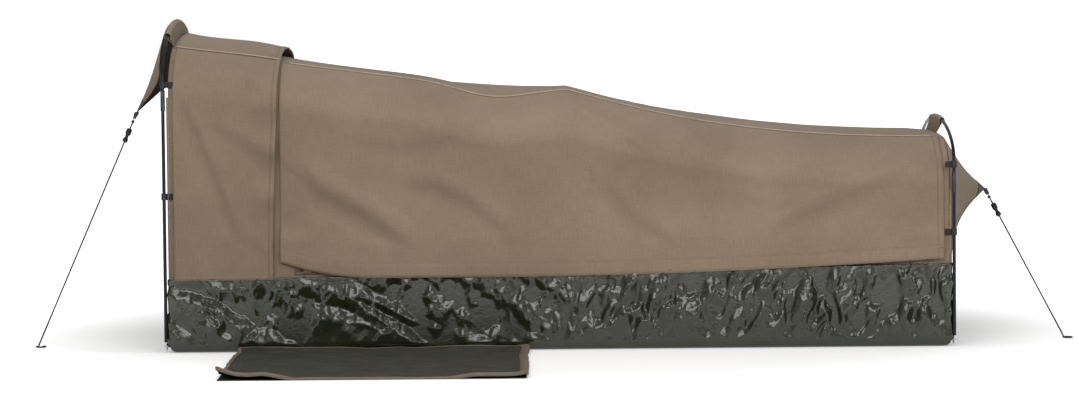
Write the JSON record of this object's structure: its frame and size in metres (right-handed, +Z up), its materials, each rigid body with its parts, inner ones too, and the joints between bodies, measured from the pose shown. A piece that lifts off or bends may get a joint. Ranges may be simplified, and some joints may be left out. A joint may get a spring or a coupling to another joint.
{
  "type": "swag bedroll",
  "caption": "Low single-person canvas swag on a welded PVC tub, held up by bent pole hoops, with a side door, guyed end hoods and a loose boot mat.",
  "frame": {"origin": "centre of the tub's flat underside, on the ground", "axes": "+X from the head towards the foot, +Z up; the zipped door faces -Y"},
  "size_m": [2.8929, 1.6782, 0.9086],
  "materials": {
    "tan_canvas": "matt woven cotton canvas",
    "olive_pvc": "glossy PVC coating on woven cloth",
    "dark_pole": "dark anodised, satin",
    "dark_ferrule": "satin",
    "black_plastic": "moulded, satin",
    "black_webbing": "woven webbing",
    "plated_steel": "bright plated",
    "dark_rope": "braided cord",
    "insect_mesh": "fine mesh",
    "mattress_cover": "woven cover",
    "zip_nylon": "nylon coil on tape",
    "olive_mat": "matt coated cloth"
  },
  "bodies": {
    "shell": {"entry_mat": "olive_mat", "far_side_panel": "tan_canvas", "foot_arch": "dark_pole", "foot_clip_far_high": "black_plastic", "foot_clip_far_low": "black_plastic", "foot_clip_near_high": "black_plastic", "foot_clip_near_low": "black_plastic", "foot_far_pin": "plated_steel", "foot_far_ring": "plated_steel", "foot_far_tab": "black_webbing", "foot_ferrule_far": "dark_ferrule", "foot_ferrule_near": "dark_ferrule", "foot_guy_rope": "dark_rope", "foot_guy_tab": "black_webbing", "foot_hood": "tan_canvas", "foot_leg_far": "dark_pole", "foot_leg_near": "dark_pole", "foot_near_pin": "plated_steel", "foot_near_ring": "plated_steel", "foot_near_tab": "black_webbing", "foot_sleeve": "tan_canvas", "foot_wall": "tan_canvas", "foot_window_mesh": "insect_mesh", "head_arch": "dark_pole", "head_clip_far_high": "black_plastic", "head_clip_far_low": "black_plastic", "head_clip_near_high": "black_plastic", "head_clip_near_low": "black_plastic", "head_cover_roof": "tan_canvas", "head_far_pin": "plated_steel", "head_far_ring": "plated_steel", "head_far_tab": "black_webbing", "head_ferrule_far": "dark_ferrule", "head_ferrule_near": "dark_ferrule", "head_guy_rope": "dark_rope", "head_guy_tab": "black_webbing", "head_hood": "tan_canvas", "head_leg_far": "dark_pole", "head_leg_near": "dark_pole", "head_near_pin": "plated_steel", "head_near_ring": "plated_steel", "head_near_tab": "black_webbing", "head_sleeve": "tan_canvas", "head_wall": "tan_canvas", "head_window_mesh": "insect_mesh", "insect_screen_roll": "insect_mesh", "mattress": "mattress_cover", "mid_hoop": "dark_pole", "near_foot_panel": "tan_canvas", "near_head_panel": "tan_canvas", "near_sill_band": "tan_canvas", "pvc_tub": "olive_pvc", "roof_panel": "tan_canvas", "sill_zip": "zip_nylon"},
    "door": {"door_panel": "tan_canvas"},
    "near_flap": {"head_flap_near": "tan_canvas"},
    "far_flap": {"head_flap_far": "tan_canvas"},
    "zip_slider_body": {"zip_slider": "dark_ferrule"},
    "head_runner_body": {"head_runner": "black_plastic"},
    "foot_runner_body": {"foot_runner": "black_plastic"}
  },
  "joints": [
    {"name": "door_lift", "type": "hinge", "parent": "shell", "child": "door", "pos_m": [0.025, -0.29, 0.7065], "axis": [-0.9945, 0, 0.1048], "range_deg": [0, 135]},
    {"name": "near_flap_lift", "type": "hinge", "parent": "shell", "child": "near_flap", "pos_m": [-0.766, -0.29, 0.80501], "axis": [-0.9943, 0, 0.1065], "range_deg": [0, 110]},
    {"name": "far_flap_lift", "type": "hinge", "parent": "shell", "child": "far_flap", "pos_m": [-0.766, 0.29, 0.80501], "axis": [0.9943, 0, -0.1065], "range_deg": [0, 110]},
    {"name": "zip_slide", "type": "slide", "parent": "shell", "child": "zip_slider_body", "axis": [0.9999, 0, 0.0131], "range_m": [0, 1.66]},
    {"name": "head_runner_slide", "type": "slide", "parent": "shell", "child": "head_runner_body", "axis": [-0.3539, -0.3267, -0.8764], "range_m": [0, 0.35]},
    {"name": "foot_runner_slide", "type": "slide", "parent": "shell", "child": "foot_runner_body", "axis": [0.3805, -0.4708, -0.796], "range_m": [0, 0.25]}
  ]
}
